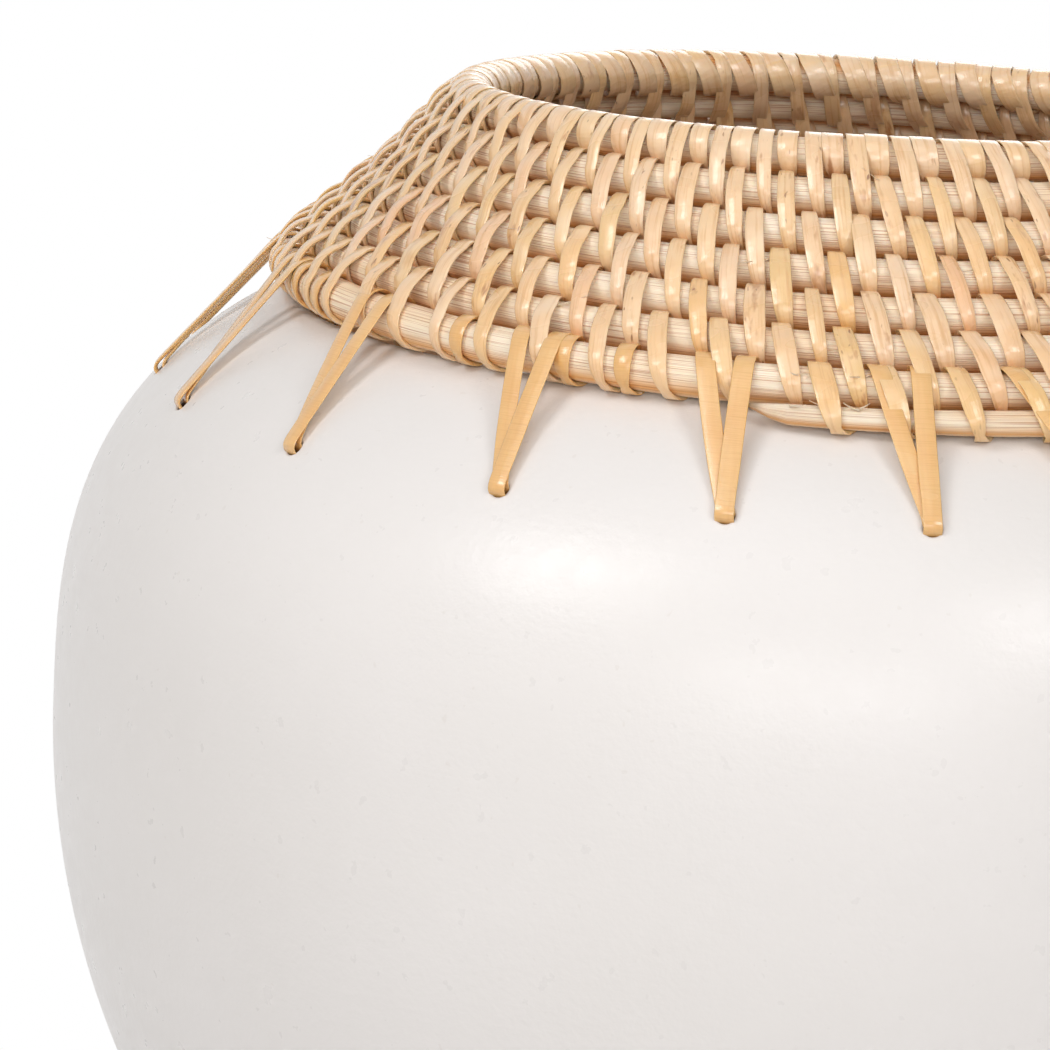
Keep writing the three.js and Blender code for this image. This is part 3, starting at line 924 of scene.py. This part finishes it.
def core_material():
    """Peeled rattan: pale, matt, with fine dark fibre lines along it, and painted honey-brown shade where
    rows meet.
    """
    n = Nodes("rattan_core")
    place = n.uv()
    lines = n.grain(place, 0.03, 120.0, 1.0)
    fine = n.grain(place, 0.06, 230.0, 0.0)
    patches = n.grain(place, 0.025, 2.0, 2.0)
    colour = n.ramp(
        patches, (0.3, srgb(247, 219, 184)), (0.5, srgb(252, 233, 206)), (0.7, srgb(254, 241, 222)),
    )
    colour = n.mix(n.fade(lines, 0.55, 0.63, 0.0, 0.7), colour, srgb(188, 126, 84))
    colour = n.mix(n.fade(fine, 0.6, 0.7, 0.0, 0.35), colour, srgb(206, 150, 106))
    # Painted shade: the core is tinted honey brown on the sides where it meets the rows below and above, in
    # the shaded grooves between rows
    groove_shade_tint = srgb(236, 178, 84)
    painted_groove_shade = n.ramp(
        n.parts(place)[1], (0.26, WHITE), (0.38, groove_shade_tint), (0.5, WHITE),
        (0.74, WHITE), (0.87, groove_shade_tint), (0.97, WHITE),
    )
    colour = n.mix(0.85, colour, painted_groove_shade, "MULTIPLY")
    grain = n.plus(n.times(lines, -0.6), n.times(fine, -0.4))
    return n.finish(
        Base_Color=colour, Roughness=n.fade(lines, 0.3, 0.7, 0.45, 0.6),
        Normal=n.bump(grain, 0.6, 0.0004), Specular_IOR_Level=0.45, **WAXY,
    )


def cane_material(name, shades, rim, foot):
    """Glossy cane skin: colour by stitch, fibre lines along it, painted shade at its edges, brown stains and
    dark specks.

    shades are the colours that stitches take; rim and foot colour those at the top and bottom rows."""
    n = Nodes(name)
    place = n.uv()
    tint, height, stain = n.parts(n.attribute("stitch", "Vector"))
    colour = n.ramp(tint, *shades)
    colour = n.mix(n.fade(height, 0.55, 0.95, 0.0, 0.55), colour, rim)
    colour = n.mix(n.fade(height, 0.4, 0.12, 0.0, 0.35), colour, foot)
    # Painted shade: each strip is darkened towards both edges, where its crown turns away from the light
    edges = n.edges(n.parts(place)[1], srgb(218, 168, 112), 0.2, 0.33, 0.76, 0.89)
    colour = n.mix(0.5, colour, edges, "MULTIPLY")
    lines = n.grain(place, 0.07, 46.0, 3.0)
    colour = n.mix(n.fade(lines, 0.33, 0.49, 0.55, 0.0), colour, srgb(208, 156, 98))
    blush = n.grain(place, 0.09, 1.6, 2.0)
    colour = n.mix(n.fade(blush, 0.5, 0.8, 0.0, 0.5), colour, srgb(252, 230, 202))
    dents = n.grain(place, 0.8, 6.0, 2.0)
    blots = n.grain(place, 0.13, 12.0, 3.0)
    stained = n.times(n.fade(stain, 0.58, 0.9), n.fade(blots, 0.56, 0.66))
    colour = n.mix(n.times(stained, 0.75), colour, srgb(168, 104, 54))
    specks = n.fade(n.grain(place, 0.4, 30.0, 1.0), 0.69, 0.75)
    colour = n.mix(n.times(specks, n.fade(stain, 0.4, 0.95, 0.0, 0.8)), colour, srgb(132, 76, 36))
    return n.finish(
        Base_Color=colour, Roughness=n.fade(blush, 0.3, 0.7, 0.22, 0.34),
        Normal=n.bump(n.plus(lines, dents), 0.4, 0.0003), Specular_IOR_Level=0.6,
        Coat_Weight=0.4, Coat_Roughness=0.16, **WAXY,
    )


def lace_material():
    """Orange-tan cane, ribbed finely across where it was bent."""
    n = Nodes("lace_cane")
    place = n.uv()
    ribs = n.grain(place, 3.2, 2.5, 2.0)
    lines = n.grain(place, 0.06, 24.0, 2.0)
    patches = n.grain(place, 0.07, 1.2, 2.0)
    colour = n.ramp(
        patches, (0.3, srgb(240, 198, 133)), (0.55, srgb(244, 208, 148)), (0.75, srgb(246, 218, 166)),
    )
    # Painted shade: each lace is darkened towards both edges, where its crown turns away from the light
    edges = n.edges(n.parts(place)[1], srgb(226, 188, 138), 0.2, 0.36, 0.73, 0.89)
    colour = n.mix(0.5, colour, edges, "MULTIPLY")
    colour = n.mix(n.fade(ribs, 0.5, 0.7, 0.0, 0.42), colour, srgb(208, 154, 86))
    colour = n.mix(n.fade(lines, 0.35, 0.6, 0.2, 0.0), colour, srgb(206, 150, 84))
    return n.finish(
        Base_Color=colour, Roughness=n.fade(patches, 0.3, 0.7, 0.2, 0.3),
        Normal=n.bump(n.plus(n.times(ribs, -0.6), n.times(lines, 0.4)), 0.35, 0.0003),
        Specular_IOR_Level=0.6, Coat_Weight=0.4, Coat_Roughness=0.16, **WAXY,
    )


# Shades that stitches take, by their tint from 0 to 1, and those of the rim and the foot row
BINDER_SHADES = (
    (0.0, srgb(253, 219, 156)), (0.15, srgb(255, 234, 200)), (0.35, srgb(253, 226, 187)),
    (0.5, srgb(247, 224, 172)), (0.65, srgb(255, 224, 156)), (0.8, srgb(255, 237, 209)),
    (1.0, srgb(252, 217, 176)),
)
RIM_SHADE = srgb(255, 238, 209)
FOOT_SHADE = srgb(253, 221, 154)


def add_strip(name, rings, material, marks=None, closed=False, shift=0.0):
    """A piece skinned over rings; shift moves the grain along it."""
    faces, uv = skin(rings, closed)
    uv = np.array(uv) + np.array((shift, 0.0))
    attributes = None if marks is None else {"stitch": marks}
    return add_mesh(name, rings.reshape(-1, 3), faces, material, uv, attributes)


def add_pot(paint):
    made = PotMesh()
    marks = {"near_hole": np.array(made.near), "bare_clay": np.array(made.bare)}
    pot = add_mesh("pot_shell", np.array(made.points), made.faces, paint, attributes=marks)
    shaped = bmesh.new()
    shaped.from_mesh(pot.data)
    bmesh.ops.recalc_face_normals(shaped, faces=shaped.faces)
    shaped.to_mesh(pot.data)
    shaped.free()
    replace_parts(pot, "pot")


def add_collar(rattan, binder):
    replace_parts(add_strip("coil_core", core_rings(), rattan), "collar_core")
    rings, marks = wind(rim_loops())
    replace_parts(add_strip("rim_wraps", rings, binder, marks), "rim_winding")
    rings, marks = wind(stitch_loops())
    add_strip("collar_stitches", rings, binder, marks)


def add_fibres(rattan):
    """All frayed fibres, as one piece."""
    points, faces, uv = [], [], []
    for number in range(FIBRE_COUNT):
        rings = fibre_rings(number)
        hair_faces, hair_uv = skin(rings, False)
        faces += [[corner + len(points) for corner in face] for face in hair_faces]
        points += list(rings.reshape(-1, 3))
        uv += hair_uv
    add_mesh("stray_fibres", points, faces, rattan, uv)


def add_lacing(lace):
    add_strip("lace_tail", tail_rings(), lace)
    for number, loop in enumerate(foot_loops(), 1):
        rings, _ = wind([loop])
        add_strip(f"foot_wrap_{number:02d}", rings, lace)
    for number, angle in enumerate(lace_angles, 1):
        strip = add_strip(
            f"lace_strip_{number:02d}", lace_rings(angle), lace,
            closed=True, shift=number * LACE_UV_SHIFT,
        )
        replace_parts(strip, f"lace_{number:02d}")


def build_object():
    rattan = core_material()
    add_pot(paint_material())
    add_collar(rattan, cane_material("binder_cane", BINDER_SHADES, RIM_SHADE, FOOT_SHADE))
    add_fibres(rattan)
    add_lacing(lace_material())


# Stage, in metres
FLOOR_HALF = 20.0
FLOOR_GREY = (0.85, 0.85, 0.85, 1.0)
FLOOR_WHITENS = (0.13, 0.27)
SURROUND_LIGHT = 0.27
LAMP_AIM = (0, 0, 0.16)

# Lamps: azimuth and elevation in degrees, distance and size in metres, power in watts
LAMPS = {
    "left_box": (-50, 42, 1.5, (0.5, 0.5), 6.4),
    "right_box": (32, 38, 1.5, (0.5, 0.5), 5.3),
    "front_fill": (-6, 20, 2.2, (1.4, 0.6), 10.9),
    "back_fill": (165, 30, 2.2, (1.6, 1.2), 14.0),
    "top_fill": (-20, 64, 2.0, (1.2, 1.2), 4.0),
}


def build_floor():
    """Pale floor that keeps the shadow near the object and is plain white further out."""
    n = Nodes("floor")
    tree = n.tree
    n.finish(Base_Color=FLOOR_GREY, Roughness=0.9)
    white = n.add("ShaderNodeEmission", {"Color": (1, 1, 1, 1), "Strength": 1.0})
    place = n.add("ShaderNodeTexCoord").outputs["Object"]
    flat = n.scaled(place, (1.0, 1.0, 0.0))
    distance = n.add("ShaderNodeVectorMath", {0: flat}, operation="LENGTH").outputs["Value"]
    path = n.add("ShaderNodeLightPath").outputs
    seen = n.plus(n.plus(path["Is Camera Ray"], path["Is Glossy Ray"]), path["Is Transmission Ray"])
    share = n.times(n.fade(distance, *FLOOR_WHITENS), seen)
    mixed = n.add("ShaderNodeMixShader", {0: share, 1: n.shader.outputs[0], 2: white.outputs[0]})
    tree.links.new(mixed.outputs[0], tree.nodes["Material Output"].inputs["Surface"])
    corners = [(x * FLOOR_HALF, y * FLOOR_HALF, 0) for x, y in ((-1, -1), (1, -1), (1, 1), (-1, 1))]
    mesh = bpy.data.meshes.new("floor")
    mesh.from_pydata(corners, [], [(0, 1, 2, 3)])
    mesh.materials.append(n.material)
    floor = bpy.data.objects.new("floor", mesh)
    bpy.context.scene.collection.objects.link(floor)


def build_world():
    """Even white surround: plain white to the camera and in reflections, softer as light."""
    world = bpy.data.worlds.new("surround")
    bpy.context.scene.world = world
    world.use_nodes = True
    tree = world.node_tree
    path = tree.nodes.new("ShaderNodeLightPath")
    strength = tree.nodes.new("ShaderNodeMapRange")
    strength.inputs["To Min"].default_value = SURROUND_LIGHT
    strength.inputs["To Max"].default_value = 1.0
    seen = path.outputs["Is Camera Ray"]
    for ray in ("Is Glossy Ray", "Is Transmission Ray"):
        both = tree.nodes.new("ShaderNodeMath")
        tree.links.new(seen, both.inputs[0])
        tree.links.new(path.outputs[ray], both.inputs[1])
        seen = both.outputs[0]
    tree.links.new(seen, strength.inputs["Value"])
    background = tree.nodes["Background"]
    background.inputs["Color"].default_value = (1, 1, 1, 1)
    tree.links.new(strength.outputs[0], background.inputs["Strength"])


def build_lamp(name, azimuth, elevation, distance, size, power):
    """Soft lamp that faces the vase."""
    lamp = bpy.data.lights.new(name, "AREA")
    lamp.shape = "RECTANGLE"
    lamp.size, lamp.size_y = size
    lamp.energy = power
    a, e = math.radians(azimuth), math.radians(elevation)
    back = Vector((math.sin(a) * math.cos(e), -math.cos(a) * math.cos(e), math.sin(e)))
    holder = bpy.data.objects.new(name, lamp)
    holder.location = Vector(LAMP_AIM) + back * distance
    holder.rotation_mode = "QUATERNION"
    holder.rotation_quaternion = (-back).to_track_quat("-Z", "Y")
    bpy.context.scene.collection.objects.link(holder)


# Camera of the photograph: its place on the front meridian plane, where it points, and its focal length
CAMERA_DISTANCE = 1150.0
CAMERA_ELEVATION = math.radians(13.025)
CAMERA_AIM_HEIGHT = 120.0
CAMERA_PAN = -0.05656
CAMERA_TILT = 0.18597
CAMERA_ROLL = 0.04426
FOCAL_PIXELS = 6096.3
FRAME_PIXELS = 1050
SENSOR = 36.0


def build_camera():
    data = bpy.data.cameras.new("camera")
    data.sensor_width = SENSOR
    data.lens = FOCAL_PIXELS / FRAME_PIXELS * SENSOR
    camera = bpy.data.objects.new("camera", data)
    bpy.context.scene.collection.objects.link(camera)
    camera.location = Vector((
        0,
        -CAMERA_DISTANCE * math.cos(CAMERA_ELEVATION),
        CAMERA_AIM_HEIGHT + CAMERA_DISTANCE * math.sin(CAMERA_ELEVATION),
    )) * MM
    turn = Matrix.Rotation(-CAMERA_PAN, 3, "Z") @ Matrix.Rotation(math.pi / 2 - CAMERA_TILT, 3, "X")
    turn = turn @ Matrix.Rotation(CAMERA_ROLL, 3, "Z")
    camera.rotation_mode = "QUATERNION"
    camera.rotation_quaternion = turn.to_quaternion()
    bpy.context.scene.camera = camera


build_object()
build_floor()
build_world()
for lamp_name, settings in LAMPS.items():
    build_lamp(lamp_name, *settings)
build_camera()
bpy.context.scene.view_settings.view_transform = "Standard"
